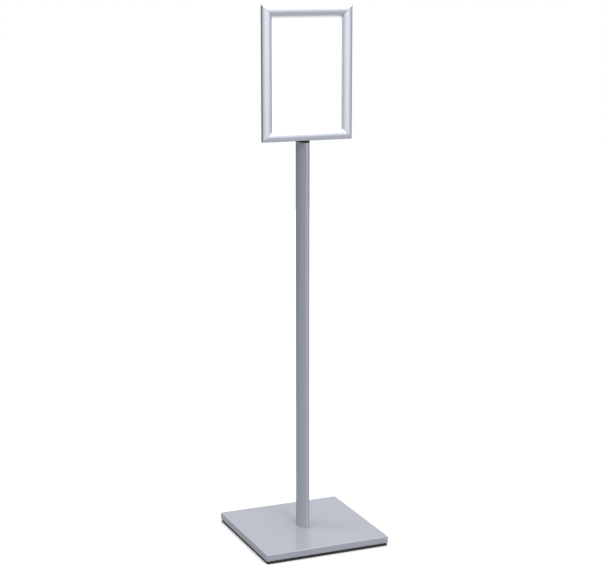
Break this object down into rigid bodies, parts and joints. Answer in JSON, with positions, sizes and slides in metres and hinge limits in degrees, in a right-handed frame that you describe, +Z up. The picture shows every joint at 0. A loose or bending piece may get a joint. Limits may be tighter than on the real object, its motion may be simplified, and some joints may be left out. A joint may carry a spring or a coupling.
{
  "type": "sign stand",
  "caption": "Free-standing poster stand: square weighted base, oval post and a portrait frame whose front rails hinge open to change the sheet.",
  "frame": {"origin": "centre of the square footprint, on the floor under the rubber feet", "axes": "+Z up; -Y to the front, the way the poster faces; +X across the frame"},
  "size_m": [0.33, 0.33, 1.346],
  "materials": {
    "silver_paint": "semi-gloss silver powder coat",
    "anodised_silver": "satin silver anodised extrusion",
    "mill_aluminium": "plain extruded aluminium",
    "black_steel": "matt black powder coat",
    "black_bolts": "black oxide steel",
    "zinc_steel": "bright zinc plate",
    "spring_steel": "blued spring steel",
    "foot_rubber": "matt black rubber",
    "board": "raw fibreboard",
    "key_plastic": "black moulded nylon",
    "panel_plastic": "white styrene sheet, satin",
    "poster": "plain white card, matt",
    "clear_cover": "clear anti-glare film"
  },
  "bodies": {
    "stand": {"base_cover": "silver_paint", "core_board": "board", "ballast_plate": "black_steel", "rubber_feet": "foot_rubber", "ballast_screws": "zinc_steel", "post": "anodised_silver", "post_bolts": "black_bolts", "post_washers": "zinc_steel", "head_bracket": "black_steel", "head_screws": "zinc_steel", "frame_screws": "zinc_steel", "nut_bar": "zinc_steel", "back_rail_bottom": "mill_aluminium", "back_rail_top": "mill_aluminium", "back_rail_left": "mill_aluminium", "back_rail_right": "mill_aluminium", "corner_keys": "key_plastic", "leaf_springs": "spring_steel", "back_panel": "panel_plastic", "poster_sheet": "poster", "cover_sheet": "clear_cover"},
    "bottom_snap_rail": {"snap_rail_bottom": "anodised_silver"},
    "top_snap_rail": {"snap_rail_top": "anodised_silver"},
    "left_snap_rail": {"snap_rail_left": "anodised_silver"},
    "right_snap_rail": {"snap_rail_right": "anodised_silver"}
  },
  "joints": [
    {"name": "bottom_rail_hinge", "type": "hinge", "parent": "stand", "child": "bottom_snap_rail", "pos_m": [0, -0.0272, 1.0218], "axis": [1, 0, 0], "range_deg": [0, 90]},
    {"name": "top_rail_hinge", "type": "hinge", "parent": "stand", "child": "top_snap_rail", "pos_m": [0, -0.0272, 1.3442], "axis": [-1, 0, 0], "range_deg": [0, 90]},
    {"name": "left_rail_hinge", "type": "hinge", "parent": "stand", "child": "left_snap_rail", "pos_m": [-0.1162, -0.0272, 1.183], "axis": [0, 0, -1], "range_deg": [0, 90]},
    {"name": "right_rail_hinge", "type": "hinge", "parent": "stand", "child": "right_snap_rail", "pos_m": [0.1162, -0.0272, 1.183], "axis": [0, 0, 1], "range_deg": [0, 90]}
  ]
}
